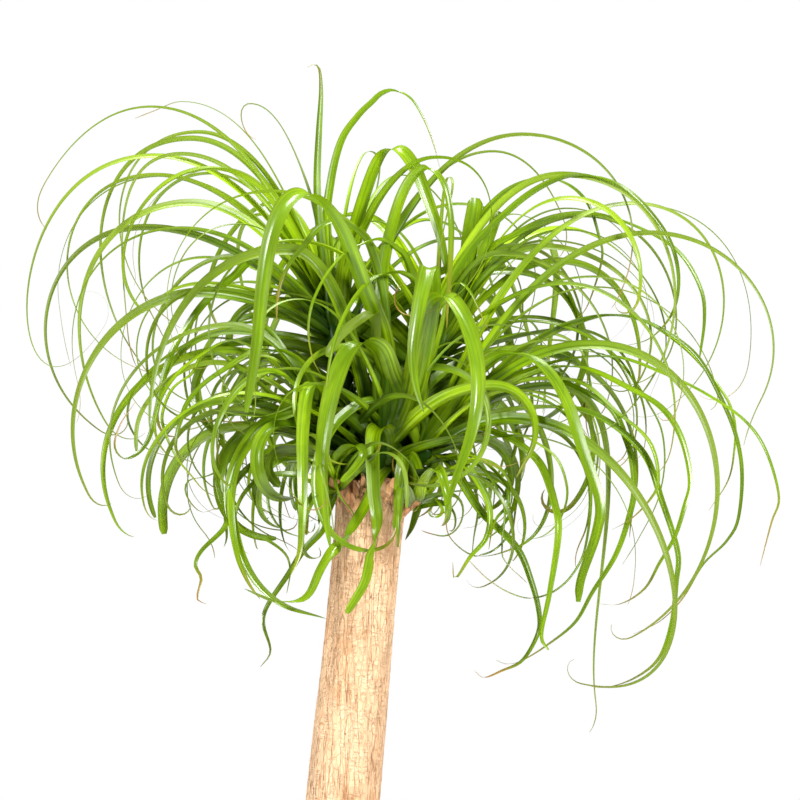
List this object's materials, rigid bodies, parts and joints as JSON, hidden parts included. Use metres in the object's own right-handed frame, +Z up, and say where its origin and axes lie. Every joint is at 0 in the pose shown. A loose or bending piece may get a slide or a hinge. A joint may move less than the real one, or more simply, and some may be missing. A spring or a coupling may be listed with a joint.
{
  "type": "potted ponytail palm",
  "caption": "House plant with a leaning corky trunk on a swollen foot, topped by a wide mop of arching strap leaves, in a plain round clay pot.",
  "frame": {"origin": "middle of the pot's flat underside, on the surface that it stands on", "axes": "+Z up along the plant, +X to the right as seen from the front, +Y to the back"},
  "size_m": [0.7349, 0.5173, 1.216],
  "materials": {
    "clay": "matt unglazed terracotta",
    "compost": "loose dark potting mix",
    "cork": "dry corky bark with fine upright cracks",
    "leaf": "smooth waxy green leaves"
  },
  "bodies": {
    "root": {"pot": "clay", "soil": "compost", "trunk": "cork", "head_upper_left": "leaf", "head_upper_right": "leaf", "head_centre": "leaf", "head_right": "leaf", "head_left": "leaf", "head_back": "leaf", "shoot_right": "leaf", "shoot_left": "leaf"}
  },
  "joints": []
}
